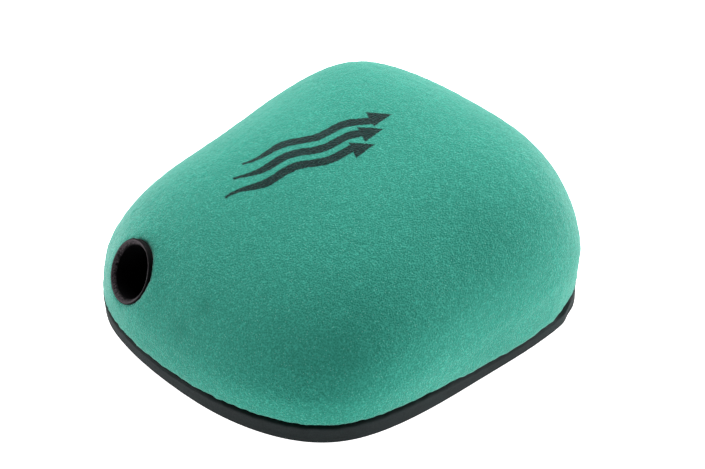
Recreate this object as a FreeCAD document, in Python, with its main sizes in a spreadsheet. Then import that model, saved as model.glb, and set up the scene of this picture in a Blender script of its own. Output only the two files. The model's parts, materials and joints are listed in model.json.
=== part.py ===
import FreeCAD, Part
import math
import os
import Sketcher
from FreeCAD import Placement, Rotation, Vector

# Off-road motorcycle air filter: a two-layer foam dome with a closed-cell base seal and a rubber
# eyelet, pulled over a welded wire cage.
# Frame: +Z up, the seal's underside is z = 0, the eyelet end is -X, origin under the middle.
# Millimetres throughout.

doc = FreeCAD.newDocument("air_filter")

# ---------------------------------------------------------------- driving dimensions
DIMENSIONS = [
    ("half_length", 117.6, "base outline, half its length along X"),
    ("half_width", 117.1, "base outline, width coefficient along Y"),
    ("corner_power", 2.43, "superellipse exponent of the outline"),
    ("tail_taper", 0.05, "how much wider the tail half is"),
    ("end_fullness", 0.17, "how full the two ends are"),
    ("seal_thickness", 10, "closed-cell seal, height"),
    ("seal_width", 20, "closed-cell seal, radial width"),
    ("foam_inset", 0.9, "foam stands this far inside the seal's edge"),
    ("coarse_foam", 10, "outer foam layer"),
    ("fine_foam", 8, "inner foam layer"),
    ("foam_bulge", 1.7, "outer foam swells this much above the seal"),
    ("bulge_level", 0.35, "level where the swelling has gone"),
    ("dome_rise", 80, "dome height over the seal, at its axis"),
    ("dome_power", 0.79, "superellipse exponent of the dome's sections"),
    ("rise_along", 0.18, "extra rise per mm towards the tail"),
    ("rise_across", 0.11, "extra rise per mm towards +Y"),
    ("crown_shift_x", 1.8, "the crown leans this far along X"),
    ("crown_shift_y", -15, "the crown leans this far along Y"),
    ("lean_power", 1.48, "how late up the dome the lean comes"),
    ("eyelet_x", -105.7, "eyelet centre on the dome"),
    ("eyelet_y", 43.1, "eyelet centre on the dome"),
    ("eyelet_height", 41, "eyelet centre above the base"),
    ("eyelet_yaw", -12, "degrees, eyelet axis turned from -X towards +Y"),
    ("eyelet_tilt", 29, "degrees, eyelet axis above the horizontal"),
    ("eyelet_bore", 14, "eyelet, clear radius"),
    ("eyelet_wall", 1.5, "eyelet, tube wall"),
    ("eyelet_mouth", 16.1, "eyelet, radius of its flared mouth"),
    ("flare_depth", 2, "eyelet, depth of the flare"),
    ("eyelet_flange", 17, "eyelet, flange radius"),
    ("flange_thickness", 3, "eyelet, flange thickness"),
    ("lip_radius", 0.8, "eyelet, radius of the rounded lip"),
    ("eyelet_recess", 1.2, "eyelet flange below the foam's face"),
    ("backing_depth", 18.5, "clamp ring's seat below the foam's face"),
    ("backing_thickness", 2, "clamp ring"),
    ("eyelet_tail", 1, "eyelet tube past the clamp ring"),
    ("glue_gap", 0.15, "room round the eyelet in the foam"),
    ("cutter_length", 54, "cylinders that cut along the eyelet's axis"),
    ("wire_size", 3.6, "cage wire diameter"),
    ("wire_clearance", 2.9, "hoops to foam"),
    ("wire_layer", 5.7, "step between crossing wires"),
    ("frame_gap", 1.6, "base frame to seal"),
    ("frame_width", 22.5, "base frame plate, radial width"),
    ("plate_thickness", 3, "base frame plate"),
    ("rim_width", 2.2, "base frame upstand round the intake"),
    ("rim_height", 6, "base frame upstand over the plate"),
    ("leg_rise", 8, "straight foot of each hoop"),
    ("front_hoop_x", -50, "hoop position"),
    ("middle_hoop_x", 6, "hoop position"),
    ("rear_hoop_x", 60, "hoop position"),
    ("spine_y", -8, "spine wire position"),
    ("left_stringer_y", 34, "stringer position"),
    ("right_stringer_y", -58, "stringer position"),
    ("waist_height", 40, "waist ring centre height"),
    ("post_inset", 31, "posts' feet from the base outline"),
    ("post_y", 2, "posts, place across"),
    ("socket_gap", 3, "socket mouth behind the eyelet"),
    ("socket_flange", 14.4, "socket flange radius"),
    ("socket_flange_thickness", 2, "socket flange"),
    ("socket_radius", 12.6, "socket tube outside radius"),
    ("socket_length", 18, "socket, mouth to back"),
    ("socket_floor", 3.5, "socket, closed end"),
    ("bush_radius", 10.6, "rubber bush outside radius"),
    ("bush_bore", 7, "rubber bush bore radius"),
    ("bush_length", 13.5, "rubber bush"),
    ("bush_setback", 0.6, "bush below the socket's mouth"),
    ("bush_fit", 0.05, "bush to socket"),
    ("bracket_thickness", 2, "socket bracket sheet"),
    ("bracket_width", 19, "socket bracket"),
    ("bracket_top", 11, "socket bracket above the socket's axis"),
    ("foot_reach", 13.5, "socket bracket foot"),
    ("foot_hole", 5.6, "screws from the foot's tip"),
    ("screw_radius", 2, "M4 screw shank"),
    ("screw_length", 4.9, "M4 screw under the head"),
    ("head_radius", 3.5, "M4 pan head"),
    ("head_height", 2.2, "M4 pan head"),
    ("drive_radius", 1.5, "hexagon drive, middle to corner"),
    ("drive_depth", 1.3, "screw drive"),
    ("screw_spread", 5.6, "screws either side of the bracket's middle"),
    ("screw_fit", 0.08, "screw to hole, radial"),
]

sheet = doc.addObject("Spreadsheet::Sheet", "Dimensions")
for row, (alias, value, note) in enumerate(DIMENSIONS, 1):
    sheet.set(f"A{row}", note)
    sheet.set(f"B{row}", str(value))
    sheet.setAlias(f"B{row}", alias)
doc.recompute()


def size(alias):
    """A driving dimension read back from the sheet."""
    return float(sheet.get(alias))


SUBPARTS = []


def keep(item, label):
    """Names a finished sub-part and lists it for export."""
    item.Label = label
    SUBPARTS.append(item)
    return item


# ---------------------------------------------------------------- the dome's formula
OUTLINE_POLES = 48
DOME_LEVELS = 13
SPLINE_DEGREE = 3
BISECTIONS = 48
SMALLEST_TURN = math.radians(1)
ARC_SHARE = 0.45


def signed_power(value, power):
    return math.copysign(abs(value) ** power, value)


def outline_factor(along):
    """Half-width share of the outline at along = x / half length, from -1 to 1."""
    return 1 + size("tail_taper") * along + size("end_fullness") * (along * along - 0.5)


def outline_point(turn, inset):
    """A point of the base outline at an angle from +X, moved in by inset."""
    along = signed_power(math.cos(turn), 2 / size("corner_power"))
    across = signed_power(math.sin(turn), 2 / size("corner_power"))
    x = (size("half_length") - inset) * along
    y = (size("half_width") - inset) * across * outline_factor(along)
    return x, y


def level_share(level):
    """Share of the base outline that is left at a level from 0, base, to 1, crown."""
    return max(0.0, 1 - level ** (2 / size("dome_power"))) ** (size("dome_power") / 2)


def dome_point(turn, level, inset, bulge=0.0):
    """A point of the dome surface that lies inset below the outer one."""
    swell = bulge * math.sin(math.pi * min(1.0, level / size("bulge_level")))
    x, y = outline_point(turn, inset - swell)
    x *= level_share(level)
    y *= level_share(level)
    top = size("dome_rise") - (inset - size("foam_inset"))
    rise = (top + size("rise_along") * x + size("rise_across") * y) * level
    lean = level ** size("lean_power")
    shift_x = size("crown_shift_x") * lean
    shift_y = size("crown_shift_y") * lean
    return Vector(x + shift_x, y + shift_y, size("seal_thickness") + rise)


def dome_height(x, y, inset):
    """Height of the dome surface over a point in plan."""
    low, high = 0.0, 1.0
    for _ in range(BISECTIONS):
        level = (low + high) / 2
        lean = level ** size("lean_power")
        share = max(level_share(level), 1e-9)
        u = (x - size("crown_shift_x") * lean) / share
        v = (y - size("crown_shift_y") * lean) / share
        along = u / (size("half_length") - inset)
        if abs(along) < 1:
            across = v / ((size("half_width") - inset) * outline_factor(along))
            outside = abs(along) ** size("corner_power") + abs(across) ** size("corner_power") > 1
        else:
            outside = True
        if outside:
            high = level
        else:
            low = level
    top = size("dome_rise") - (inset - size("foam_inset"))
    here_x = x - size("crown_shift_x") * low ** size("lean_power")
    here_y = y - size("crown_shift_y") * low ** size("lean_power")
    rise = (top + size("rise_along") * here_x + size("rise_across") * here_y) * low
    return size("seal_thickness") + rise


def dome_at_height(turn, height, inset):
    """The dome point on a meridian at a given height."""
    low, high = 0.0, 1.0
    for _ in range(BISECTIONS):
        level = (low + high) / 2
        if dome_point(turn, level, inset).z < height:
            low = level
        else:
            high = level
    return dome_point(turn, low, inset)


def dome_solid(inset, bulge=0.0):
    """The solid between a dome surface and the seal's top face."""
    turns = [2 * math.pi * i / OUTLINE_POLES for i in range(OUTLINE_POLES)]
    levels = [math.sin(math.pi / 2 * j / (DOME_LEVELS - 1)) ** size("dome_power")
              for j in range(DOME_LEVELS)]
    poles = [[dome_point(turn, level, inset, bulge) for level in levels] for turn in turns]
    surface = Part.BSplineSurface()
    spans = DOME_LEVELS - SPLINE_DEGREE
    surface.buildFromPolesMultsKnots(
        poles,
        [1] * (OUTLINE_POLES + 1),
        [SPLINE_DEGREE + 1] + [1] * (spans - 1) + [SPLINE_DEGREE + 1],
        list(range(OUTLINE_POLES + 1)),
        list(range(spans + 1)),
        True,
        False,
        SPLINE_DEGREE,
        SPLINE_DEGREE,
    )
    skin = surface.toShape()
    rims = [e for e in skin.Edges if not e.Degenerated and e.BoundBox.ZLength < 1e-6]
    floor = Part.Face(Part.Wire(rims[:1]))
    shell = Part.Shell([skin.Faces[0], floor])
    shell.sewShape()
    return Part.Solid(shell)


def outline_curve(inset):
    """The base outline as one closed spline."""
    curve = Part.BSplineCurve()
    poles = []
    for i in range(OUTLINE_POLES):
        x, y = outline_point(2 * math.pi * i / OUTLINE_POLES, inset)
        poles.append(Vector(x, y, 0))
    curve.buildFromPolesMultsKnots(
        poles,
        [1] * (OUTLINE_POLES + 1),
        list(range(OUTLINE_POLES + 1)),
        True,
        SPLINE_DEGREE,
    )
    return curve


# ---------------------------------------------------------------- modelling helpers
def origin_plane(body, role):
    return next(o for o in body.Origin.OriginFeatures if o.Role == role)


def sketch_on(body, role, name, height=0.0):
    """A sketch on one of a body's own origin planes, moved along that plane's normal."""
    sketch = body.newObject("Sketcher::SketchObject", name)
    sketch.AttachmentSupport = [(origin_plane(body, role), "")]
    sketch.MapMode = "FlatFace"
    sketch.AttachmentOffset = Placement(Vector(0, 0, height), Rotation())
    return sketch


def new_body(label):
    body = doc.addObject("PartDesign::Body", label)
    return keep(body, label)


def pad(body, sketch, length, name, middle=False):
    feature = body.newObject("PartDesign::Pad", name)
    feature.Profile = sketch
    feature.SideType = "Symmetric" if middle else "One side"
    feature.setExpression("Length", length)
    return feature


def outline_ring(body, name, outer_inset, inner_inset, length, height=0.0):
    """A flat ring between two insets of the base outline."""
    sketch = sketch_on(body, "XY_Plane", name + "_outline", height)
    sketch.addGeometry(outline_curve(outer_inset), False)
    sketch.addGeometry(outline_curve(inner_inset), False)
    return pad(body, sketch, length, name)


def turn_at(points, i):
    """How far the route turns at a corner."""
    back = points[i - 1] - points[i]
    ahead = points[(i + 1) % len(points)] - points[i]
    return math.pi - back.getAngle(ahead)


def without_straight_corners(points):
    """The same route without the corners that hardly turn it."""
    inner = range(1, len(points) - 1)
    kept = [points[i] for i in inner if turn_at(points, i) > SMALLEST_TURN]
    return [points[0]] + kept + [points[-1]]


def rounded_run(points, closed=False):
    """Straight runs through points in a plane, joined by tangent arcs as large as they allow."""
    count = len(points)
    corners = range(count) if closed else range(1, count - 1)
    ends = {}
    geometry = []
    for i in corners:
        before, here, after = points[i - 1], points[i], points[(i + 1) % count]
        back, ahead = before - here, after - here
        shorter = min(back.Length, ahead.Length)
        half_turn = turn_at(points, i) / 2
        setback = ARC_SHARE * shorter
        start = here + back.normalize() * setback
        finish = here + ahead.normalize() * setback
        radius = setback / math.tan(half_turn)
        bisector = (back + ahead).normalize()
        middle = here + bisector * (radius / math.cos(half_turn) - radius)
        geometry.append(Part.Arc(start, middle, finish))
        ends[i] = (start, finish)
    for i in range(count if closed else count - 1):
        j = (i + 1) % count
        start = ends[i][1] if i in ends else points[i]
        finish = ends[j][0] if j in ends else points[j]
        geometry.append(Part.LineSegment(start, finish))
    return geometry


PLANE_TO_MODEL = {
    "XY_Plane": lambda p, height: Vector(p.x, p.y, height),
    "XZ_Plane": lambda p, height: Vector(p.x, -height, p.y),
    "YZ_Plane": lambda p, height: Vector(height, p.x, p.y),
}


def wire_piece(label, plane, height, points, closed=False):
    """A bent wire: a round section swept along rounded runs in one plane."""
    body = new_body(label)
    path = sketch_on(body, plane, label + "_path", height)
    path.addGeometry(rounded_run(points, closed), False)
    to_model = PLANE_TO_MODEL[plane]
    start = to_model((points[0] + points[-1]) / 2 if closed else points[0], height)
    ahead = to_model(points[0] if closed else points[1], height)
    section = sketch_on(body, "XY_Plane", label + "_section")
    section.AttachmentOffset = Placement(start, Rotation(Vector(0, 0, 1), ahead - start))
    section.addGeometry(Part.Circle(Vector(), Vector(0, 0, 1), size("wire_size") / 2), False)
    section.addConstraint(Sketcher.Constraint("Radius", 0, size("wire_size") / 2))
    section.setExpression("Constraints[0]", "Dimensions.wire_size / 2")
    pipe = body.newObject("PartDesign::AdditivePipe", label + "_sweep")
    pipe.Profile = section
    pipe.Spine = (path, [f"Edge{i + 1}" for i in range(path.GeometryCount)])
    return body


def cylinder(name, radius, height, place):
    item = doc.addObject("Part::Cylinder", name)
    item.setExpression("Radius", radius)
    item.setExpression("Height", height)
    item.Placement = place
    return item


def joined(name, items):
    item = doc.addObject("Part::MultiFuse", name)
    item.Shapes = items
    return item


def cut(name, base, tool):
    item = doc.addObject("Part::Cut", name)
    item.Base = base
    item.Tool = tool
    return item


# ---------------------------------------------------------------- the eyelet's own frame
# Its local Z leaves the foam along the eyelet's axis; its local Z = 0 is on the foam's face.
eyelet_turn = Rotation(Vector(0, 0, 1), size("eyelet_yaw"))
eyelet_lean = Rotation(Vector(0, 1, 0), size("eyelet_tilt") - 90)
eyelet_centre = Vector(size("eyelet_x"), size("eyelet_y"), size("eyelet_height"))
eyelet_frame = Placement(eyelet_centre, eyelet_turn.multiply(eyelet_lean))


def on_eyelet_axis(depth):
    """A placement on the eyelet's axis, depth mm below the foam's face."""
    return eyelet_frame.multiply(Placement(Vector(0, 0, -depth), Rotation()))


HALF_CUTTER = size("cutter_length") / 2
seat_depth = size("eyelet_recess") + size("flange_thickness")
tube_end = size("backing_depth") + size("backing_thickness") + size("eyelet_tail")

# ---------------------------------------------------------------- foam element
OUTER_INSET = size("foam_inset")
LAYER_INSET = OUTER_INSET + size("coarse_foam")
CAVITY_INSET = LAYER_INSET + size("fine_foam")


def dome_feature(name, inset, bulge=0.0):
    item = doc.addObject("Part::Feature", name)
    item.Shape = dome_solid(inset, bulge)
    item.Placement = Placement()
    return item


def eyelet_room(name):
    """What the eyelet takes out of a foam layer: its tube, its flange seat, its clamp seat."""
    through = cylinder(
        name + "_tube",
        "Dimensions.eyelet_bore + Dimensions.eyelet_wall + Dimensions.glue_gap",
        "Dimensions.cutter_length",
        on_eyelet_axis(HALF_CUTTER),
    )
    flange_seat = cylinder(
        name + "_flange",
        "Dimensions.eyelet_flange + Dimensions.glue_gap",
        "Dimensions.cutter_length / 2",
        on_eyelet_axis(seat_depth),
    )
    clamp_seat = cylinder(
        name + "_clamp",
        "Dimensions.eyelet_flange + Dimensions.glue_gap",
        "Dimensions.cutter_length / 2",
        on_eyelet_axis(size("backing_depth") + HALF_CUTTER),
    )
    return joined(name, [through, flange_seat, clamp_seat])


outer_dome = dome_feature("outer_dome", OUTER_INSET, size("foam_bulge"))
layer_dome = dome_feature("layer_dome", LAYER_INSET)
cavity_dome = dome_feature("cavity_dome", CAVITY_INSET)
outer_layer = cut("outer_layer", outer_dome, layer_dome)
inner_layer = cut("inner_layer", layer_dome, cavity_dome)
keep(cut("outer_foam", outer_layer, eyelet_room("outer_room")), "outer_foam")
keep(cut("inner_foam", inner_layer, eyelet_room("inner_room")), "inner_foam")

base_seal = new_body("base_seal")
outline_ring(base_seal, "seal_ring", 0, size("seal_width"), "Dimensions.seal_thickness")

# Eyelet: flange with a rounded lip outside, tube through the foam, clamp ring inside.
TUBE_RADIUS = "Dimensions.eyelet_bore + Dimensions.eyelet_wall"
flange_disc = cylinder(
    "flange_disc",
    "Dimensions.eyelet_flange",
    "Dimensions.flange_thickness - Dimensions.lip_radius",
    on_eyelet_axis(seat_depth),
)
flange_core = cylinder(
    "flange_core",
    "Dimensions.eyelet_flange - Dimensions.lip_radius",
    "Dimensions.flange_thickness",
    on_eyelet_axis(seat_depth),
)
lip = doc.addObject("Part::Torus", "lip")
lip.setExpression("Radius1", "Dimensions.eyelet_flange - Dimensions.lip_radius")
lip.setExpression("Radius2", "Dimensions.lip_radius")
lip.Placement = on_eyelet_axis(size("eyelet_recess") + size("lip_radius"))
tube = cylinder(
    "tube",
    TUBE_RADIUS,
    "Dimensions.backing_depth + Dimensions.backing_thickness + Dimensions.eyelet_tail"
    " - Dimensions.eyelet_recess - Dimensions.lip_radius",
    on_eyelet_axis(tube_end),
)
bore = cylinder(
    "bore",
    "Dimensions.eyelet_bore",
    "Dimensions.cutter_length",
    on_eyelet_axis(HALF_CUTTER),
)
flare = doc.addObject("Part::Cone", "flare")
flare.setExpression("Radius1", "Dimensions.eyelet_bore")
flare.setExpression("Radius2", "Dimensions.eyelet_mouth")
flare.setExpression("Height", "Dimensions.flare_depth")
flare.Placement = on_eyelet_axis(size("eyelet_recess") + size("flare_depth"))
eyelet_body = joined("eyelet_body", [flange_disc, flange_core, lip, tube])
eyelet_hollow = joined("eyelet_hollow", [bore, flare])
keep(cut("eyelet_ring", eyelet_body, eyelet_hollow), "eyelet_ring")

clamp_disc = cylinder(
    "clamp_disc",
    "Dimensions.eyelet_flange",
    "Dimensions.backing_thickness",
    on_eyelet_axis(size("backing_depth") + size("backing_thickness")),
)
clamp_hole = cylinder(
    "clamp_hole",
    TUBE_RADIUS + " + Dimensions.bush_fit",
    "Dimensions.backing_thickness * 3",
    on_eyelet_axis(size("backing_depth") + 2 * size("backing_thickness")),
)
keep(cut("eyelet_clamp_ring", clamp_disc, clamp_hole), "eyelet_clamp_ring")

# ---------------------------------------------------------------- wire cage
WIRE_RADIUS = size("wire_size") / 2
HOOP_INSET = CAVITY_INSET + size("wire_clearance") + WIRE_RADIUS
INNER_WIRE_INSET = HOOP_INSET + size("wire_layer")
PLATE_TOP = size("plate_thickness")
FRAME_INSET = size("seal_width") + size("frame_gap")
HOOP_ANGLES = [14, 30, 48, 68, 90, 112, 132, 150, 166]
SPINE_ANGLES = [26, 42, 62, 84, 108, 130, 148, 160]
RING_CORNERS = 20

frame_blank = doc.addObject("PartDesign::Body", "frame_blank")
outline_ring(
    frame_blank,
    "plate",
    FRAME_INSET,
    FRAME_INSET + size("frame_width"),
    "Dimensions.plate_thickness",
)
outline_ring(
    frame_blank,
    "rim",
    FRAME_INSET + size("frame_width") - size("rim_width"),
    FRAME_INSET + size("frame_width"),
    "Dimensions.rim_height",
    PLATE_TOP,
)


def side_of_outline(x, inset):
    """Half-width of the base outline at x."""
    along = x / (size("half_length") - inset)
    across = (1 - abs(along) ** size("corner_power")) ** (1 / size("corner_power"))
    return (size("half_width") - inset) * across * outline_factor(along)


def section_reach(inside, start, direction):
    """Where a ray from inside a planar section leaves the dome."""
    low, high = 0.0, 2 * size("half_length")
    for _ in range(BISECTIONS):
        reach = (low + high) / 2
        if inside(start + direction * reach):
            low = reach
        else:
            high = reach
    return start + direction * low


def hoop_points(x):
    """A hoop's corners in the plane at x: two straight feet and the dome's section between."""
    half = side_of_outline(x, HOOP_INSET)
    middle = Vector(size("crown_shift_y") / 2, size("seal_thickness"), 0)

    def inside(p):
        return abs(p.x) < half and p.y < dome_height(x, p.x, HOOP_INSET)

    crown = []
    for angle in HOOP_ANGLES:
        turn = math.radians(angle)
        direction = Vector(math.cos(turn), math.sin(turn), 0)
        crown.append(section_reach(inside, middle, direction))
    foot = PLATE_TOP + size("leg_rise")
    right = [Vector(half, PLATE_TOP, 0), Vector(half, foot, 0)]
    left = [Vector(-half, foot, 0), Vector(-half, PLATE_TOP, 0)]
    return without_straight_corners(right + crown + left)


for name in ("front_hoop", "middle_hoop", "rear_hoop"):
    place = size(name + "_x")
    wire_piece(name, "YZ_Plane", place, hoop_points(place))

ring_turns = [2 * math.pi * (i + 0.5) / RING_CORNERS for i in range(RING_CORNERS)]
ring_corners = [dome_at_height(t, size("waist_height"), INNER_WIRE_INSET) for t in ring_turns]
ring_points = [Vector(p.x, p.y, 0) for p in ring_corners]
wire_piece("waist_ring", "XY_Plane", size("waist_height"), ring_points, closed=True)


def ring_crossing(y, tail_end):
    """Where the waist ring's straight runs pass y, and which way they run there."""
    found = []
    for here, after in zip(ring_points, ring_points[1:] + ring_points[:1]):
        if (here.y - y) * (after.y - y) <= 0 and here.y != after.y:
            run = after - here
            found.append((here + run * ((y - here.y) / run.y), run.normalize()))
    return sorted(found, key=lambda crossing: crossing[0].x)[-1 if tail_end else 0]


def off_the_ring(y, tail_end, towards):
    """Where a wire in the plane at y, coming from towards, meets the waist ring's surface."""
    crossing, run = ring_crossing(y, tail_end)
    ring = Vector(crossing.x, size("waist_height"), 0)
    ahead = (towards - ring).normalize()
    slant = abs(ahead.x * run.x)
    return ring + ahead * (WIRE_RADIUS * (1 + slant) / math.sqrt(1 - slant * slant))


def lengthwise_wire(label, y):
    """A wire along X over the dome, its ends on the waist ring."""
    height = size("waist_height")
    tail_x = ring_crossing(y, True)[0].x
    nose_x = ring_crossing(y, False)[0].x
    middle = Vector((tail_x + nose_x) / 2, size("seal_thickness"), 0)

    def inside(p):
        return nose_x < p.x < tail_x and p.y < dome_height(p.x, y, INNER_WIRE_INSET)

    crown = []
    for angle in SPINE_ANGLES:
        turn = math.radians(angle)
        point = section_reach(inside, middle, Vector(math.cos(turn), math.sin(turn), 0))
        if point.y > height + size("leg_rise"):
            crown.append(point)
    ends = [off_the_ring(y, True, crown[0]), off_the_ring(y, False, crown[-1])]
    points = [ends[0]] + crown + [ends[1]]
    wire_piece(label, "XZ_Plane", -y, without_straight_corners(points))


lengthwise_wire("spine_wire", size("spine_y"))
lengthwise_wire("left_stringer", size("left_stringer_y"))
lengthwise_wire("right_stringer", size("right_stringer_y"))


def post(label, tail_end):
    """An upright from the base frame to the waist ring's underside."""
    foot_x = (size("half_length") - size("post_inset")) * (1 if tail_end else -1)
    foot = Vector(foot_x, PLATE_TOP, 0)
    bend = Vector(foot_x, PLATE_TOP + size("leg_rise"), 0)
    points = [foot, bend, off_the_ring(size("post_y"), tail_end, bend)]
    wire_piece(label, "XZ_Plane", -size("post_y"), without_straight_corners(points))


post("tail_post", True)
post("nose_post", False)

# ---------------------------------------------------------------- socket for the airbox's pin
socket_mouth = tube_end + size("socket_gap")
socket_back = socket_mouth + size("socket_length")
socket_tube = cylinder(
    "socket_tube",
    "Dimensions.socket_radius",
    "Dimensions.socket_length",
    on_eyelet_axis(socket_back),
)
socket_disc = cylinder(
    "socket_disc",
    "Dimensions.socket_flange",
    "Dimensions.socket_flange_thickness",
    on_eyelet_axis(socket_mouth + size("socket_flange_thickness")),
)
socket_hollow = cylinder(
    "socket_hollow",
    "Dimensions.bush_radius + Dimensions.bush_fit",
    "Dimensions.socket_length",
    on_eyelet_axis(socket_back - size("socket_floor")),
)

# The bracket's own frame: under the eyelet, turned with it, so that the eyelet's axis lies in
# its XZ plane.
bracket_frame = Placement(Vector(eyelet_centre.x, eyelet_centre.y, 0), eyelet_turn)
tilt = math.radians(size("eyelet_tilt"))
axis_out = Vector(-math.cos(tilt), math.sin(tilt), 0)
axis_up = Vector(math.sin(tilt), math.cos(tilt), 0)
back_centre = Vector(0, eyelet_centre.z, 0) - axis_out * socket_back
sheet_step = size("bracket_thickness")
foot_tip = back_centre.x - axis_up.x * size("bracket_top") - size("foot_reach")


def screw_placements():
    """Head seats of the four screws: two down through the foot, two into the socket's floor."""
    found = []
    for side in (-1, 1):
        foot = Vector(foot_tip + size("foot_hole"), side * size("screw_spread"),
                      PLATE_TOP + sheet_step)
        found.append(bracket_frame.multiply(Placement(foot, Rotation())))
        back = Placement(Vector(0, side * size("screw_spread"), -socket_back - sheet_step),
                         Rotation(Vector(0, 1, 0), 180))
        found.append(eyelet_frame.multiply(back))
    return found


def screw_holes(name, fit):
    """Cylinders where the four screws pass, fit wider than their shanks."""
    holes = []
    for i, seat in enumerate(screw_placements()):
        down = Placement(Vector(0, 0, -size("screw_length") - sheet_step), Rotation())
        holes.append(
            cylinder(
                f"{name}_{i + 1}",
                f"Dimensions.screw_radius + {fit}",
                "Dimensions.screw_length + Dimensions.bracket_thickness * 2",
                seat.multiply(down),
            )
        )
    return joined(name, holes)


socket_solid = joined("socket_solid", [socket_tube, socket_disc])
socket_shell = cut("socket_shell", socket_solid, socket_hollow)
keep(cut("nose_socket", socket_shell, screw_holes("socket_holes", "Dimensions.screw_fit")), "nose_socket")

bush_outer = cylinder(
    "bush_outer",
    "Dimensions.bush_radius",
    "Dimensions.bush_length",
    on_eyelet_axis(socket_mouth + size("bush_setback") + size("bush_length")),
)
bush_inner = cylinder(
    "bush_inner",
    "Dimensions.bush_bore",
    "Dimensions.bush_length * 3",
    on_eyelet_axis(socket_mouth + size("bush_setback") + 2 * size("bush_length")),
)
keep(cut("socket_bush", bush_outer, bush_inner), "socket_bush")


def along_face(start, x):
    """The point at x on the line through start along the bracket's back plate."""
    return start + axis_up * ((x - start.x) / axis_up.x)


bracket_strap = doc.addObject("PartDesign::Body", "bracket_strap")
front_x = back_centre.x - axis_up.x * size("bracket_top")
rear_face = back_centre - axis_out * sheet_step
strap_outline = [
    Vector(foot_tip, PLATE_TOP, 0),
    Vector(front_x + sheet_step, PLATE_TOP, 0),
    along_face(rear_face, front_x + sheet_step),
    rear_face + axis_up * size("bracket_top"),
    back_centre + axis_up * size("bracket_top"),
    along_face(back_centre, front_x),
    Vector(front_x, PLATE_TOP + sheet_step, 0),
    Vector(foot_tip, PLATE_TOP + sheet_step, 0),
]
strap_sketch = sketch_on(bracket_strap, "XZ_Plane", "strap_outline")
for here, after in zip(strap_outline, strap_outline[1:] + strap_outline[:1]):
    strap_sketch.addGeometry(Part.LineSegment(here, after), False)
pad(bracket_strap, strap_sketch, "Dimensions.bracket_width", "strap", middle=True)
bracket_strap.Placement = bracket_frame
keep(cut("socket_bracket", bracket_strap, screw_holes("bracket_holes", "Dimensions.screw_fit")),
     "socket_bracket")

keep(cut("base_frame", frame_blank, screw_holes("frame_holes", "Dimensions.screw_fit")), "base_frame")

screw_head = cylinder("screw_head", "Dimensions.head_radius", "Dimensions.head_height", Placement())
screw_shank = cylinder(
    "screw_shank",
    "Dimensions.screw_radius",
    "Dimensions.screw_length",
    Placement(Vector(0, 0, -size("screw_length")), Rotation()),
)
drive = doc.addObject("Part::Prism", "drive")
drive.Polygon = 6
drive.setExpression("Circumradius", "Dimensions.drive_radius")
drive.setExpression("Height", "Dimensions.drive_depth * 2")
drive.Placement = Placement(Vector(0, 0, size("head_height") - size("drive_depth")), Rotation())
screw = cut("screw", joined("screw_blank", [screw_head, screw_shank]), drive)
doc.recompute()

screws = doc.addObject("Part::Feature", "bracket_screws")
copies = []
for seat in screw_placements():
    copy = screw.Shape.copy()
    copy.Placement = seat
    copies.append(copy)
screws.Shape = Part.makeCompound(copies)
screws.Placement = Placement()
keep(screws, "bracket_screws")

# ---------------------------------------------------------------- check and export
doc.recompute()
for item in doc.Objects:
    if "Invalid" in item.State or "Error" in item.State:
        raise RuntimeError(f"{item.Label} failed: {item.State}")
os.makedirs("parts", exist_ok=True)
for item in SUBPARTS:
    if item.Shape.isNull() or not item.Shape.isValid():
        raise RuntimeError(f"{item.Label} has no valid shape")
for item in SUBPARTS:
    item.Shape.exportStep(f"parts/{item.Label}.step")
    box = item.Shape.BoundBox
    print(f"{item.Label:20s} solids {len(item.Shape.Solids)} volume {item.Shape.Volume / 1000:9.2f} cm3"
          f"  x {box.XMin:7.1f} {box.XMax:7.1f}  y {box.YMin:7.1f} {box.YMax:7.1f}"
          f"  z {box.ZMin:7.1f} {box.ZMax:7.1f}")
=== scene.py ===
import json
import math

import bmesh
import bpy
import numpy as np
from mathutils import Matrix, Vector, noise
from mathutils.bvhtree import BVHTree


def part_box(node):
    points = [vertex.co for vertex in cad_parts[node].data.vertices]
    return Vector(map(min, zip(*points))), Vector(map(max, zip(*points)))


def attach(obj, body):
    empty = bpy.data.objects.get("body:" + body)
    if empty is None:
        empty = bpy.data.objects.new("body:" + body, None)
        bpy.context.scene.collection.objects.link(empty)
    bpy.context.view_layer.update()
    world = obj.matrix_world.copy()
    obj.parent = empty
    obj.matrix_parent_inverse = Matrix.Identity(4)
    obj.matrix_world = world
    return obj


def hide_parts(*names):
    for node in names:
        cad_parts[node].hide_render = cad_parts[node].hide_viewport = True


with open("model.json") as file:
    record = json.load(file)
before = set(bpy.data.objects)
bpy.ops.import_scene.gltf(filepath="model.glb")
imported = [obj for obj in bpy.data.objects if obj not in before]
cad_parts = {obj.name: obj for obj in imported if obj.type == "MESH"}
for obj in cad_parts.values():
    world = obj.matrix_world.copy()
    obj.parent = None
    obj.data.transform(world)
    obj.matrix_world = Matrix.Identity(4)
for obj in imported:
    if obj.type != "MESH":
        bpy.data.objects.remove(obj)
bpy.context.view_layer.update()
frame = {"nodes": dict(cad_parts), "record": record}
MM = 0.001


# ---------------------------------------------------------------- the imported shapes
def tree_of(node):
    """A CAD node's surface, to measure from."""
    mesh = frame["nodes"][node].data
    return BVHTree.FromPolygons([v.co for v in mesh.vertices], [tuple(p.vertices) for p in mesh.polygons])


socket_mount = next(m for m in frame["record"]["mounts"] if m["name"] == "socket_bore")
EYELET_AXIS = Vector(socket_mount["axis"]).normalized()
AXIS_POINT = Vector(socket_mount["pos_m"])
eyelet_points = [v.co - AXIS_POINT for v in frame["nodes"]["eyelet_ring"].data.vertices]
foremost = max(eyelet_points, key=lambda p: p.dot(EYELET_AXIS))
# The eyelet's foremost edge: how far along the axis from AXIS_POINT, and how far from the axis.
EYELET_FRONT = foremost.dot(EYELET_AXIS)
CREST_RADIUS = foremost.cross(EYELET_AXIS).length


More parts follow.
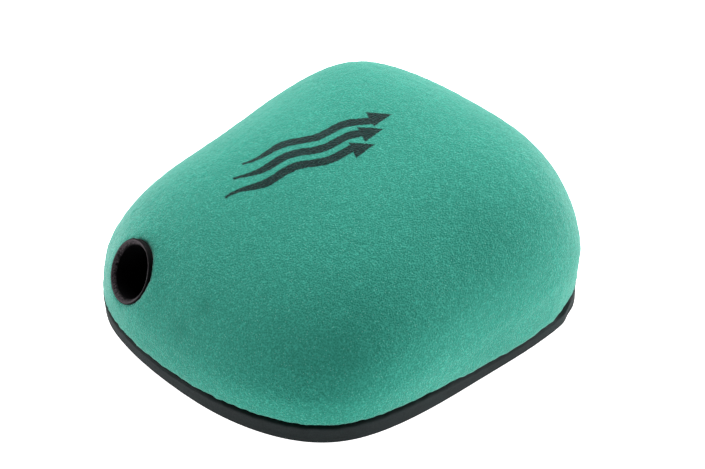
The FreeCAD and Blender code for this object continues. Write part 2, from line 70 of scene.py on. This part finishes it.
# ---------------------------------------------------------------- material building
class Shader:
    """A node material under construction."""

    def __init__(self, name):
        self.material = bpy.data.materials.new(name)
        self.material.use_nodes = True
        tree = self.material.node_tree
        self.nodes, self.links = tree.nodes, tree.links
        self.nodes.clear()
        self.out = self.nodes.new("ShaderNodeOutputMaterial")
        self.principled = self.nodes.new("ShaderNodeBsdfPrincipled")
        self.links.new(self.principled.outputs[0], self.out.inputs["Surface"])
        self.coord = self.nodes.new("ShaderNodeTexCoord").outputs["Object"]

    def put(self, socket, value):
        if isinstance(value, bpy.types.NodeSocket):
            self.links.new(value, socket)
        else:
            socket.default_value = value

    def set(self, **values):
        for name, value in values.items():
            self.put(self.principled.inputs[name.replace("_", " ")], value)

    def math(self, operation, first, second=0.0):
        node = self.nodes.new("ShaderNodeMath")
        node.operation = operation
        self.put(node.inputs[0], first)
        self.put(node.inputs[1], second)
        return node.outputs[0]

    def vector_math(self, operation, first, second=(0.0, 0.0, 0.0)):
        node = self.nodes.new("ShaderNodeVectorMath")
        node.operation = operation
        self.put(node.inputs[0], first)
        self.put(node.inputs[1], second)
        return node.outputs

    def noise(self, scale, detail, roughness, distortion=0.0):
        node = self.nodes.new("ShaderNodeTexNoise")
        self.put(node.inputs["Vector"], self.coord)
        self.put(node.inputs["Scale"], scale)
        self.put(node.inputs["Detail"], detail)
        self.put(node.inputs["Roughness"], roughness)
        self.put(node.inputs["Distortion"], distortion)
        return node.outputs["Fac"]

    def cells(self, scale, randomness=1.0):
        node = self.nodes.new("ShaderNodeTexVoronoi")
        self.put(node.inputs["Vector"], self.coord)
        self.put(node.inputs["Scale"], scale)
        self.put(node.inputs["Randomness"], randomness)
        return node.outputs["Distance"]

    def span(self, value, low, high, start=0.0, end=1.0, smooth=False):
        """The value, with low to high mapped to start to end and held there outside them."""
        node = self.nodes.new("ShaderNodeMapRange")
        node.interpolation_type = "SMOOTHSTEP" if smooth else "LINEAR"
        for socket, number in zip(node.inputs, (value, low, high, start, end)):
            self.put(socket, number)
        return node.outputs[0]

    def blend(self, factor, first, second):
        node = self.nodes.new("ShaderNodeMix")
        node.data_type = "RGBA"
        self.put(node.inputs["Factor"], factor)
        self.put(node.inputs[6], first)
        self.put(node.inputs[7], second)
        return node.outputs[2]

    def bump(self, height, distance, strength):
        node = self.nodes.new("ShaderNodeBump")
        self.put(node.inputs["Height"], height)
        self.put(node.inputs["Distance"], distance)
        self.put(node.inputs["Strength"], strength)
        return node.outputs[0]

    def distance(self, place):
        return self.vector_math("DISTANCE", self.coord, place)["Value"]

    def from_axis(self, point, axis):
        """The distance from an axis, and the way along it."""
        offset = self.vector_math("SUBTRACT", self.coord, point)["Vector"]
        away = self.vector_math("CROSS_PRODUCT", offset, axis)["Vector"]
        along = self.vector_math("DOT_PRODUCT", offset, axis)["Value"]
        return self.vector_math("LENGTH", away)["Value"], along

    def turned_axes(self, angle):
        """X and Y after a turn about Z."""
        turn = self.nodes.new("ShaderNodeVectorRotate")
        turn.rotation_type = "Z_AXIS"
        self.put(turn.inputs["Vector"], self.coord)
        self.put(turn.inputs["Angle"], angle)
        axes = self.nodes.new("ShaderNodeSeparateXYZ")
        self.put(axes.inputs[0], turn.outputs[0])
        return axes.outputs["X"], axes.outputs["Y"]


def rgb(red, green, blue):
    """An sRGB colour, 0 to 255, as a linear shader colour."""
    def linear(c):
        c /= 255
        return c / 12.92 if c <= 0.04045 else ((c + 0.055) / 1.055) ** 2.4
    return linear(red), linear(green), linear(blue), 1.0


def shaded(tone, factor):
    return [c * factor for c in tone[:3]] + [1.0]


# ---------------------------------------------------------------- foam
MARK_TURN = math.radians(25)
MARK_START, MARK_END = -62 * MM, 34 * MM
MARK_ROWS = (-8 * MM, 1.5 * MM, 11 * MM)
ROW_STAGGER = 7 * MM
HEAD_STAGGER = 8 * MM
STROKE_HALF_WIDTH = 3.1 * MM
TAIL_LENGTH = 24 * MM
TAIL_HALF_WIDTH = 1.2 * MM
EDGE_BLEED = 0.5 * MM
WAVE_HEIGHT = 1.6 * MM
WAVES_PER_M = 30
HEAD_LENGTH = 13 * MM
HEAD_HALF_WIDTH = 6.6 * MM
# The stroke runs on this far into its arrow head.
STROKE_OVERLAP = HEAD_LENGTH / 4


def airflow_mark(shader, ragged):
    """1 where the ink is: three wavy streamlines that swell from a thin tail to an arrow head."""
    along, across = shader.turned_axes(MARK_TURN)
    phase = shader.math("MULTIPLY", along, 2 * math.pi * WAVES_PER_M)
    wave = shader.math("MULTIPLY", shader.math("SINE", phase), WAVE_HEIGHT)
    ink = 0.0
    for i, row in enumerate(MARK_ROWS):
        row_start = MARK_START + ROW_STAGGER * i
        neck = MARK_END - HEAD_LENGTH - HEAD_STAGGER * (len(MARK_ROWS) - 1 - i)
        offset = shader.math("SUBTRACT", across, row)
        line = shader.math("ABSOLUTE", shader.math("SUBTRACT", offset, wave))
        tail_end = row_start + TAIL_LENGTH
        half_stroke = shader.span(along, row_start, tail_end, TAIL_HALF_WIDTH, STROKE_HALF_WIDTH,
                                  smooth=True)
        stroke = shader.math("SUBTRACT", half_stroke, line)
        stroke = shader.math("MINIMUM", stroke, shader.math("SUBTRACT", along, row_start))
        stroke = shader.math("MINIMUM", stroke, shader.math("SUBTRACT", neck + STROKE_OVERLAP, along))
        tip_room = shader.math("SUBTRACT", neck + HEAD_LENGTH, along)
        half_width = shader.math("MULTIPLY", tip_room, HEAD_HALF_WIDTH / HEAD_LENGTH)
        head = shader.math("SUBTRACT", half_width, shader.math("ABSOLUTE", offset))
        head = shader.math("MINIMUM", head, shader.math("SUBTRACT", along, neck))
        depth = shader.math("ADD", shader.math("MAXIMUM", stroke, head), ragged)
        ink = shader.math("MAXIMUM", ink, shader.span(depth, 0.0, EDGE_BLEED))
    return ink


# Where the foam is darker from handling: place and radius.
HANDLED = (
    (Vector((-101, -12, 48)) * MM, 7 * MM),
    (Vector((-111, -5, 34)) * MM, 9 * MM),
)


def handling_marks(shader):
    """0 to 1 where the foam is soiled from handling."""
    marks = 0.0
    for place, radius in HANDLED:
        away = shader.distance(place)
        marks = shader.math("MAXIMUM", marks, shader.span(away, radius, 0.0, smooth=True))
    return marks


# A noise is written as its detail and roughness, with its scale first where that is fixed.
# A span is written as the values from and to, then what they become.
CELL_SHARE, FINE_SHARE = 0.6, 0.7
FINE_NOISE = (2.0, 0.6)
FINE_PER_PORE, PINHOLES_PER_PORE, GLINTS_PER_PORE = 1.35, 0.55, 0.62
GLINT_RANDOMNESS = 0.9
MOTTLE, SMEAR = (22.0, 3.0, 0.55), (9.0, 2.0, 0.5)
GRAIN_SPAN = (0.42, 0.98, 0.2, 0.86)
MOTTLE_SPAN = (0.3, 0.7, 0.0, 0.14)
SMEAR_SPAN = (0.45, 0.75, 0.0, 0.12)
PINHOLE_SPAN = (0.2, 0.1, 0.0, 0.5)
GLINT_SPAN = (0.2, 0.1, 0.0, 0.4)
SOILED_SPAN = (0.3, 0.6, 0.15, 0.4)
INK_WORN_SPAN = (0.3, 0.54, 0.8, 1.0)
INK_EDGE_SPAN = (0.3, 0.7, -0.35 * MM, 0.35 * MM)
GRAIN_DEPTH, GRAIN_STRENGTH = 0.5 * MM, 0.9
GLINT = rgb(140, 214, 198)
SHEEN_WEIGHT, SHEEN_ROUGHNESS = 0.5, 0.4
SHEEN_TINT = rgb(204, 232, 228)
FOAM_ROUGHNESS, FOAM_SHINE = 0.95, 0.15


def foam_material(name, light, deep, pore, ink_colour=None):
    """Open-cell foam. With an ink colour it is the outer layer, printed and handled."""
    shader = Shader(name)
    cell = shader.cells(1 / pore)
    fine = shader.noise(FINE_PER_PORE / pore, *FINE_NOISE)
    grain = shader.math("ADD", shader.math("MULTIPLY", cell, CELL_SHARE),
                        shader.math("MULTIPLY", fine, FINE_SHARE))
    colour = shader.blend(shader.span(grain, *GRAIN_SPAN), deep, light)
    colour = shader.blend(shader.span(shader.noise(*MOTTLE), *MOTTLE_SPAN), colour, deep)
    colour = shader.blend(shader.span(shader.noise(*SMEAR), *SMEAR_SPAN), colour, deep)
    pinholes = shader.cells(PINHOLES_PER_PORE / pore)
    colour = shader.blend(shader.span(pinholes, *PINHOLE_SPAN), colour, deep)
    glints = shader.cells(GLINTS_PER_PORE / pore, GLINT_RANDOMNESS)
    colour = shader.blend(shader.span(glints, *GLINT_SPAN), colour, GLINT)
    if ink_colour:
        soiled = shader.math("MULTIPLY", handling_marks(shader), shader.span(fine, *SOILED_SPAN))
        colour = shader.blend(soiled, colour, deep)
        mark = airflow_mark(shader, shader.span(fine, *INK_EDGE_SPAN))
        ink = shader.math("MULTIPLY", mark, shader.span(fine, *INK_WORN_SPAN))
        colour = shader.blend(ink, colour, ink_colour)
    shader.set(
        Base_Color=colour,
        Roughness=FOAM_ROUGHNESS,
        Specular_IOR_Level=FOAM_SHINE,
        Sheen_Weight=SHEEN_WEIGHT,
        Sheen_Roughness=SHEEN_ROUGHNESS,
        Sheen_Tint=SHEEN_TINT,
        Normal=shader.bump(grain, GRAIN_DEPTH, GRAIN_STRENGTH),
    )
    return shader.material


# ---------------------------------------------------------------- rubber, nylon and metal
# The part of a noise's range that most of its values are in.
UNEVEN = (0.3, 0.7)
RUBBER_GRAIN, RUBBER_PATCHES = (4.0, 0.6), (60.0, 3.0, 0.5)
RUBBER_PATCH_SPAN = (0.35, 0.75, 0.0, 0.5)
RUBBER_DUST = 1.8
RUBBER_BUMP = 0.8
# How far the roughness goes below and above the one given.
RUBBER_SMOOTHER, RUBBER_ROUGHER = -0.12, 0.15


def rubber_material(name, tone, roughness, grain_size, grain_depth, shine=0.5):
    shader = Shader(name)
    grain = shader.noise(1 / grain_size, *RUBBER_GRAIN)
    patches = shader.span(shader.noise(*RUBBER_PATCHES), *RUBBER_PATCH_SPAN)
    shader.set(
        Base_Color=shader.blend(patches, tone, shaded(tone, RUBBER_DUST)),
        Roughness=shader.span(grain, *UNEVEN, roughness + RUBBER_SMOOTHER, roughness + RUBBER_ROUGHER),
        Specular_IOR_Level=shine,
        Normal=shader.bump(grain, grain_depth, RUBBER_BUMP),
    )
    return shader.material


# Scale, detail, roughness and distortion.
EYELET_STREAKS = (620.0, 4.0, 0.7, 0.8)
# The mouth's dirt and painted light start and are full this far behind the front, with a ragged edge.
DUST_AND_LIGHT_DEEPEST, DUST_AND_LIGHT_FULL = 2.1 * MM, 0.8 * MM
DUST_AND_LIGHT_RAGGED = (-0.6 * MM, 0.6 * MM)
DUST_AND_LIGHT_EDGE = 0.3 * MM
DUST_AND_LIGHT_SPAN = (0.36, 0.62, 0.12, 1.0)
# The crest's painted highlight: its half width and where it is full, then how strongly it shows.
CREST_HALF_WIDTH, CREST_FULL = 0.45 * MM, 0.1 * MM
CREST_HIGHLIGHT_SHARE = 0.7
EYELET_ROUGHNESS = (0.5, 0.75)
EYELET_BUMP_DEPTH, EYELET_BUMP = 0.12 * MM, 0.7


def eyelet_material(name, tone, dust_and_light_tone, crest_highlight_tone, shine):
    """Black rubber: greyer on its flared mouth, part dirt and part painted light, with a painted highlight
    on its crest, blackest outside it.
    """
    shader = Shader(name)
    radius, along = shader.from_axis(AXIS_POINT, EYELET_AXIS)
    streaks = shader.noise(*EYELET_STREAKS)
    # Greyer on the mouth: dirt, and painted light that stands in for its lit inner wall.
    ragged = shader.math("ADD", along, shader.span(streaks, *UNEVEN, *DUST_AND_LIGHT_RAGGED))
    mouth = shader.span(ragged, EYELET_FRONT - DUST_AND_LIGHT_DEEPEST, EYELET_FRONT - DUST_AND_LIGHT_FULL, smooth=True)
    inside = shader.span(radius, CREST_RADIUS, CREST_RADIUS - DUST_AND_LIGHT_EDGE)
    dust_and_painted_light = shader.math("MULTIPLY", mouth, inside)
    dust_and_painted_light = shader.math("MULTIPLY", dust_and_painted_light, shader.span(streaks, *DUST_AND_LIGHT_SPAN))
    from_crest = shader.math("ABSOLUTE", shader.math("SUBTRACT", radius, CREST_RADIUS))
    # A painted highlight along the crest.
    crest = shader.math("MULTIPLY", mouth, shader.span(from_crest, CREST_HALF_WIDTH, CREST_FULL))
    colour = shader.blend(dust_and_painted_light, tone, dust_and_light_tone)
    shader.set(
        Base_Color=shader.blend(shader.math("MULTIPLY", crest, CREST_HIGHLIGHT_SHARE), colour, crest_highlight_tone),
        Roughness=shader.span(streaks, *UNEVEN, *EYELET_ROUGHNESS),
        Specular_IOR_Level=shine,
        Normal=shader.bump(streaks, EYELET_BUMP_DEPTH, EYELET_BUMP),
    )
    return shader.material


METAL_STREAKS, METAL_PATCHES = (4.0, 0.7), (90.0, 4.0, 0.6)
METAL_PATCH_SPAN = (0.3, 0.7, 0.0, 0.4)
METAL_DULL = 0.72
METAL_BUMP_DEPTH, METAL_BUMP = 0.03 * MM, 0.6
METAL_SMOOTHER, METAL_ROUGHER = -0.08, 0.12


def metal_material(name, tone, roughness, streak):
    shader = Shader(name)
    streaks = shader.noise(1 / streak, *METAL_STREAKS)
    patches = shader.span(shader.noise(*METAL_PATCHES), *METAL_PATCH_SPAN)
    shader.set(
        Base_Color=shader.blend(patches, tone, shaded(tone, METAL_DULL)),
        Roughness=shader.span(streaks, *UNEVEN, roughness + METAL_SMOOTHER, roughness + METAL_ROUGHER),
        Metallic=1.0,
        Normal=shader.bump(streaks, METAL_BUMP_DEPTH, METAL_BUMP),
    )
    return shader.material


OUTER_FOAM = foam_material("coarse_foam", light=rgb(71, 180, 159), deep=rgb(15, 108, 92),
                           pore=0.9 * MM, ink_colour=rgb(3, 22, 24))
INNER_FOAM = foam_material("fine_foam", light=rgb(52, 128, 112), deep=rgb(16, 76, 66), pore=0.5 * MM)
SEAL = rubber_material("seal_foam", tone=rgb(22, 30, 31), roughness=0.8,
                       grain_size=0.5 * MM, grain_depth=0.1 * MM, shine=0.25)
# The eyelet's greyer mouth is dirt and painted light, and its pale crest line is a painted highlight.
EYELET = eyelet_material("eyelet_rubber", tone=rgb(3, 3, 4), dust_and_light_tone=rgb(76, 69, 73),
                         crest_highlight_tone=rgb(88, 82, 86), shine=0.06)
BUSH = rubber_material("bush_rubber", tone=rgb(20, 20, 20), roughness=0.6,
                       grain_size=0.4 * MM, grain_depth=0.05 * MM)
NYLON = rubber_material("socket_nylon", tone=rgb(24, 24, 26), roughness=0.55,
                        grain_size=0.25 * MM, grain_depth=0.04 * MM)
FRAME_METAL = metal_material("frame_aluminium", tone=rgb(158, 160, 164), roughness=0.46, streak=0.6 * MM)
WIRE_METAL = metal_material("cage_wire", tone=rgb(150, 151, 154), roughness=0.36, streak=0.8 * MM)
WELD_METAL = metal_material("weld_metal", tone=rgb(138, 136, 134), roughness=0.5, streak=0.4 * MM)
BRACKET_METAL = metal_material("bracket_steel", tone=rgb(140, 141, 139), roughness=0.38, streak=0.5 * MM)
SCREW_METAL = metal_material("screw_steel", tone=rgb(112, 112, 114), roughness=0.32, streak=0.3 * MM)

# ---------------------------------------------------------------- the element's soft shape
SEAL_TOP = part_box("base_seal")[1][2]
seal_tree = tree_of("base_seal")
TURNS = 720
# The foam droops most at this corner of the base and at the one opposite it.
DROOP_CORNER = math.radians(-43.6)


def seal_wall(turn, outside):
    """The seal's outer or inner radius at an angle from +X."""
    out = Vector((math.cos(turn), math.sin(turn), 0.0))
    middle = Vector((0.0, 0.0, SEAL_TOP / 2))
    if outside:
        hit = seal_tree.ray_cast(middle + out, -out)[0]
    else:
        hit = seal_tree.ray_cast(middle, out)[0]
    return (hit - middle).length


turn_steps = [2 * math.pi * i / TURNS for i in range(TURNS)]
OUTER_WALL = np.array([seal_wall(turn, True) for turn in turn_steps])
INNER_WALL = np.array([seal_wall(turn, False) for turn in turn_steps])


def smooth_step(values, low, high):
    t = np.clip((values - low) / (high - low), 0.0, 1.0)
    return t * t * (3 - 2 * t)


# Where the moulded element is fuller or slacker than its plain solid: place, reach, push, in mm.
FULLNESS = (
    ((-88, 80, 30), 34, (-1.0, 1.1, 1.2)),
    ((-20, 82, 64), 36, (0.5, -1.5, -1.5)),
    ((14, 80, 74), 42, (0.1, -0.9, -0.9)),
    ((68, 57, 87), 26, (0.4, 1.0, 1.9)),
    ((95, -45, 72), 34, (0.9, -0.3, 0.9)),
    ((-80, -84, 4), 32, (-1.9, -2.0, 0.0)),
    ((12, -108, 4), 45, (0.0, 1.0, 0.0)),
    ((81, -96, 38), 22, (0.7, -0.7, 0.0)),
    ((70, -104, 2), 18, (0.8, -1.4, 0.0)),
    ((79, -99, 12), 11, (-1.1, 0.9, 0.2)),
    ((71, -104, 3), 6, (-1.0, 1.1, 0.0)),
    ((-108, 58, 2), 16, (-0.9, -0.2, 0.0)),
)
EYELET_SWELL = 1.7 * MM
EYELET_REACH = 24 * MM
# How far the foam's edge droops: between those corners, at DROOP_CORNER, and opposite it.
SAG_LEAST, SAG_MOST, SAG_OPPOSITE = 0.9 * MM, 3.9 * MM, 2.9 * MM
SAG_ACROSS = 6 * MM
SAG_UP = 15 * MM
SAG_WAVER = 0.11 * MM
WAVERS = ((37, 0), (61, 1), (97, 2))
SKIRT_SWELL = 1.1 * MM
# Squared cosines of the turn from DROOP_CORNER where the droop starts and where it is full.
CORNER_FROM, CORNER_FULL = 0.05, 0.6
# Where the foam's edge stands back and shows the seal's upper edge. The share is how much of
# the skirt's swell is taken away: past 1 the edge steps inward.
LEDGE_TURN, LEDGE_HALF_TURN = math.radians(-57.5), math.radians(4.5)
LEDGE_SHARE = 1.7
AT_SEAL_TOP = SEAL_TOP - 0.1 * MM


def soft_shape(points):
    """The points of a soft piece, moved from the plain solid to the moulded, drooping shape."""
    moved = points.copy()
    for place, reach, push in FULLNESS:
        away = np.linalg.norm(points - np.array(place) * MM, axis=1) / (reach * MM)
        moved += np.exp(-away * away)[:, None] * np.array(push) * MM
    front = np.array(AXIS_POINT + EYELET_AXIS * EYELET_FRONT)
    away = np.linalg.norm(points - front, axis=1) / EYELET_REACH
    moved += np.exp(-away ** 4)[:, None] * np.array(EYELET_AXIS) * EYELET_SWELL

    turn = np.arctan2(points[:, 1], points[:, 0])
    radius = np.hypot(points[:, 0], points[:, 1])
    full_turn = turn_steps + [2 * math.pi]
    wall = np.interp(turn % (2 * math.pi), full_turn, np.append(OUTER_WALL, OUTER_WALL[0]))
    at_edge = 1 - smooth_step(wall - radius, 0.0, SAG_ACROSS)
    height = points[:, 2]
    above = 1 - smooth_step(height, SEAL_TOP, SEAL_TOP + SAG_UP)
    near_joint = np.where(height > SEAL_TOP, above, height / SEAL_TOP)
    towards = np.cos(turn - DROOP_CORNER)
    corner = smooth_step(towards ** 2, CORNER_FROM, CORNER_FULL)
    sag = SAG_LEAST + (np.where(towards > 0, SAG_MOST, SAG_OPPOSITE) - SAG_LEAST) * corner
    sag += SAG_WAVER * sum(np.sin(turn * waves + shift) for waves, shift in WAVERS)
    moved[:, 2] -= sag * at_edge * near_joint
    ledge = np.exp(-((turn - LEDGE_TURN) / LEDGE_HALF_TURN) ** 2)
    skirt = np.where(height > AT_SEAL_TOP, near_joint, 0.0) * corner * SKIRT_SWELL
    skirt *= 1 - LEDGE_SHARE * ledge
    moved[:, 0] += np.cos(turn) * skirt
    moved[:, 1] += np.sin(turn) * skirt
    return moved


# ---------------------------------------------------------------- pieces
def give(obj, material):
    obj.data.materials.clear()
    obj.data.materials.append(material)


def smooth(obj):
    obj.data.polygons.foreach_set("use_smooth", [True] * len(obj.data.polygons))


def apply_modifiers(obj):
    graph = bpy.context.evaluated_depsgraph_get()
    mesh = bpy.data.meshes.new_from_object(obj.evaluated_get(graph))
    obj.modifiers.clear()
    obj.data = mesh


def new_object(name, data):
    obj = bpy.data.objects.new(name, data)
    bpy.context.scene.collection.objects.link(obj)
    return obj


RELAX_FACTOR = 0.5


def remeshed(node, name, voxel, passes):
    """A soft, evenly meshed copy of a CAD node."""
    obj = new_object(name, frame["nodes"][node].data.copy())
    remesh = obj.modifiers.new("remesh", "REMESH")
    remesh.mode = "VOXEL"
    remesh.voxel_size = voxel
    relax = obj.modifiers.new("relax", "SMOOTH")
    relax.factor = RELAX_FACTOR
    relax.iterations = passes
    apply_modifiers(obj)
    return obj


def soften(obj):
    mesh = obj.data
    points = np.empty(len(mesh.vertices) * 3)
    mesh.vertices.foreach_get("co", points)
    mesh.vertices.foreach_set("co", soft_shape(points.reshape(-1, 3)).ravel())
    mesh.update()


def roughen(obj, size, depth):
    """A slightly uneven surface, as cut foam has."""
    mesh = obj.data
    for vertex, normal in zip(mesh.vertices, [n.vector.copy() for n in mesh.vertex_normals]):
        vertex.co += normal * noise.noise(vertex.co / size) * depth
    mesh.update()


def finish_piece(obj, node, material):
    give(obj, material)
    smooth(obj)
    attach(obj, "filter_element")
    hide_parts(node)


outer = remeshed("outer_foam", "foam_outer_layer", voxel=1.6 * MM, passes=8)
soften(outer)
roughen(outer, size=3.2 * MM, depth=0.3 * MM)
finish_piece(outer, "outer_foam", OUTER_FOAM)

inner = remeshed("inner_foam", "foam_inner_layer", voxel=2.0 * MM, passes=6)
soften(inner)
roughen(inner, size=2.6 * MM, depth=0.2 * MM)
finish_piece(inner, "inner_foam", INNER_FOAM)

SEAL_EDGE = 0.9 * MM
EDGE_STEPS = 3
FLAT_ROWS = 10
# The section's corners: on the outer wall or not, on the top or not, where its rounding starts.
SEAL_CORNERS = ((0, 0, 180), (1, 0, 270), (1, 1, 0), (0, 1, 90))


def seal_section():
    """The seal's section: (share of the way from its inner to its outer wall, offset, height)."""
    section = []
    for outside, up, start in SEAL_CORNERS:
        for step in range(EDGE_STEPS + 1):
            turn = math.radians(start + 90 * step / EDGE_STEPS)
            offset = (math.cos(turn) + (-1 if outside else 1)) * SEAL_EDGE
            height = up * SEAL_TOP + (math.sin(turn) + (-1 if up else 1)) * SEAL_EDGE
            section.append(Vector((outside, offset, height)))
    rows = []
    for i, here in enumerate(section):
        after = section[(i + 1) % len(section)]
        steps = FLAT_ROWS if i % (EDGE_STEPS + 1) == EDGE_STEPS else 1
        rows += [here.lerp(after, j / steps) for j in range(steps)]
    return rows


def seal_mesh():
    """The seal as a ring of its rounded section."""
    mesh = bmesh.new()
    section = seal_section()
    rings = []
    for turn, outer_radius, inner_radius in zip(turn_steps, OUTER_WALL, INNER_WALL):
        ring = []
        for share, offset, height in section:
            radius = inner_radius + (outer_radius - inner_radius) * share + offset
            ring.append(mesh.verts.new((radius * math.cos(turn), radius * math.sin(turn), height)))
        rings.append(ring)
    for here, after in zip(rings, rings[1:] + rings[:1]):
        for j in range(len(here)):
            mesh.faces.new((here[j - 1], here[j], after[j], after[j - 1]))
    bmesh.ops.recalc_face_normals(mesh, faces=mesh.faces)
    made = bpy.data.meshes.new("seal_band")
    mesh.to_mesh(made)
    return made


seal = new_object("seal_band", seal_mesh())
soften(seal)
finish_piece(seal, "base_seal", SEAL)

# ---------------------------------------------------------------- weld beads on the cage
WIRES = ("front_hoop", "middle_hoop", "rear_hoop", "waist_ring", "spine_wire",
         "left_stringer", "right_stringer", "tail_post", "nose_post")
WELDED = WIRES + ("base_frame",)
WELD_GAP = 2.4 * MM
WELD_SPACING = 12 * MM
SAMPLE_STEP = 1.0 * MM
BEAD_RADIUS = 1.9 * MM
BEAD_UNEVEN = 0.2
BEAD_BUMPS = 1.2 / BEAD_RADIUS
BEAD_SUBDIVISIONS = 3


def edge_samples(mesh):
    """Points along every edge of a mesh, so that long straight wires have some everywhere."""
    samples = []
    for edge in mesh.edges:
        start, end = (mesh.vertices[i].co for i in edge.vertices)
        steps = max(1, math.ceil((end - start).length / SAMPLE_STEP))
        samples += [start.lerp(end, (i + 0.5) / steps) for i in range(steps)]
    return samples


def weld_places(wire, other):
    """The middle of each narrowest gap between a wire and another node."""
    tree = tree_of(other)
    gaps = []
    for point in edge_samples(frame["nodes"][wire].data):
        nearest, _, _, distance = tree.find_nearest(point, WELD_GAP)
        if nearest:
            gaps.append((distance, tuple((point + nearest) / 2)))
    places = []
    for _, middle in sorted(gaps):
        if all((Vector(middle) - place).length > WELD_SPACING for place in places):
            places.append(Vector(middle))
    return places


def weld_beads():
    """A small uneven bead at every weld place."""
    mesh = bmesh.new()
    for i, wire in enumerate(WIRES):
        for other in WELDED[i + 1:]:
            for place in weld_places(wire, other):
                bead = bmesh.ops.create_icosphere(mesh, subdivisions=BEAD_SUBDIVISIONS, radius=BEAD_RADIUS)
                for vertex in bead["verts"]:
                    swell = 1 + BEAD_UNEVEN * noise.noise((vertex.co + place) * BEAD_BUMPS)
                    vertex.co = vertex.co * swell + place
    made = bpy.data.meshes.new("weld_beads")
    mesh.to_mesh(made)
    return made


welds = new_object("weld_beads", weld_beads())
give(welds, WELD_METAL)
smooth(welds)
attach(welds, "cage")

CAD_LOOKS = {
    "eyelet_ring": EYELET,
    "eyelet_clamp_ring": EYELET,
    "base_frame": FRAME_METAL,
    "nose_socket": NYLON,
    "socket_bush": BUSH,
    "socket_bracket": BRACKET_METAL,
    "bracket_screws": SCREW_METAL,
}
SHARP_EDGE = math.radians(35)
for node, obj in frame["nodes"].items():
    if not obj.hide_render:
        give(obj, CAD_LOOKS.get(node, WIRE_METAL))
        smooth(obj)
        obj.modifiers.new("edges", "EDGE_SPLIT").split_angle = SHARP_EDGE

# ---------------------------------------------------------------- floor
FLOOR_REACH = 60.0
FLOOR_TONE, FLOOR_ROUGHNESS = (0.93, 0.93, 0.93, 1.0), 0.9
WHITE = (1.0, 1.0, 1.0, 1.0)
# The floor glows around the object, like a light table, but not inside it.
FLOOR_DARK_RADIUS = 80 * MM
FLOOR_GLOW_RADIUS = 108 * MM
FLOOR_GLOW = 1.32
floor_mesh = bpy.data.meshes.new("floor")
floor_corners = [(x * FLOOR_REACH, y * FLOOR_REACH, 0) for x, y in ((-1, -1), (1, -1), (1, 1), (-1, 1))]
floor_mesh.from_pydata(floor_corners, [], [(0, 1, 2, 3)])
floor = new_object("floor", floor_mesh)
floor_shader = Shader("floor_pale")
from_middle = floor_shader.distance((0.0, 0.0, 0.0))
floor_shader.set(
    Base_Color=FLOOR_TONE,
    Roughness=FLOOR_ROUGHNESS,
    Specular_IOR_Level=0.0,
    Emission_Color=WHITE,
    Emission_Strength=floor_shader.span(from_middle, FLOOR_DARK_RADIUS, FLOOR_GLOW_RADIUS,
                                        0.0, FLOOR_GLOW, smooth=True),
)
give(floor, floor_shader.material)

# ---------------------------------------------------------------- camera
CENTRE = Vector((0.0, 0.0, 0.04))
AZIMUTH, ELEVATION = math.radians(-43.65), math.radians(35.03)
CAMERA_AWAY = 0.9
LENS, SHIFT_X, SHIFT_Y = 87.42, 0.0213, -0.0132
BACK = Vector((math.sin(AZIMUTH) * math.cos(ELEVATION), -math.cos(AZIMUTH) * math.cos(ELEVATION),
               math.sin(ELEVATION)))
camera_data = bpy.data.cameras.new("camera")
camera = new_object("camera", camera_data)
camera.location = CENTRE + BACK * CAMERA_AWAY
camera.rotation_mode = "QUATERNION"
camera.rotation_quaternion = (-BACK).to_track_quat("-Z", "Y")
camera_data.lens = LENS
camera_data.shift_x = SHIFT_X
camera_data.shift_y = SHIFT_Y
bpy.context.scene.camera = camera


# ---------------------------------------------------------------- light
def area_light(name, place, power, width):
    """A round soft light that faces the object."""
    data = bpy.data.lights.new(name, "AREA")
    data.energy = power
    data.shape = "DISK"
    data.size = width
    light = new_object(name, data)
    light.location = place
    light.rotation_mode = "QUATERNION"
    light.rotation_quaternion = (CENTRE - light.location).to_track_quat("-Z", "Y")


# Name, place, power in watts, width.
LIGHTS = (
    ("overhead", (0.5, 0.6, 1.15), 37.0, 1.3),
    ("left", (-0.6, 1.1, 0.45), 4.0, 0.8),
    ("right", (1.0, -0.75, 0.35), 10.5, 0.8),
)
for name, place, power, width in LIGHTS:
    area_light(name, place, power, width)

# The sky is bright at the horizon and dim overhead. The heights are Z of the view direction.
HORIZON_LIGHT, SKY_LIGHT = 0.52, 0.02
HORIZON_TOP, SKY_START = 0.02, 0.22
world = bpy.data.worlds.new("world")
bpy.context.scene.world = world
world.use_nodes = True
sky = world.node_tree
background = sky.nodes["Background"]
background.inputs["Color"].default_value = WHITE
direction = sky.nodes.new("ShaderNodeTexCoord")
heights = sky.nodes.new("ShaderNodeSeparateXYZ")
fade = sky.nodes.new("ShaderNodeMapRange")
fade.interpolation_type = "SMOOTHSTEP"
for socket, number in zip(fade.inputs[1:], (HORIZON_TOP, SKY_START, HORIZON_LIGHT, SKY_LIGHT)):
    socket.default_value = number
sky.links.new(direction.outputs["Generated"], heights.inputs[0])
sky.links.new(heights.outputs["Z"], fade.inputs["Value"])
sky.links.new(fade.outputs[0], background.inputs["Strength"])
bpy.context.scene.view_settings.view_transform = "Standard"
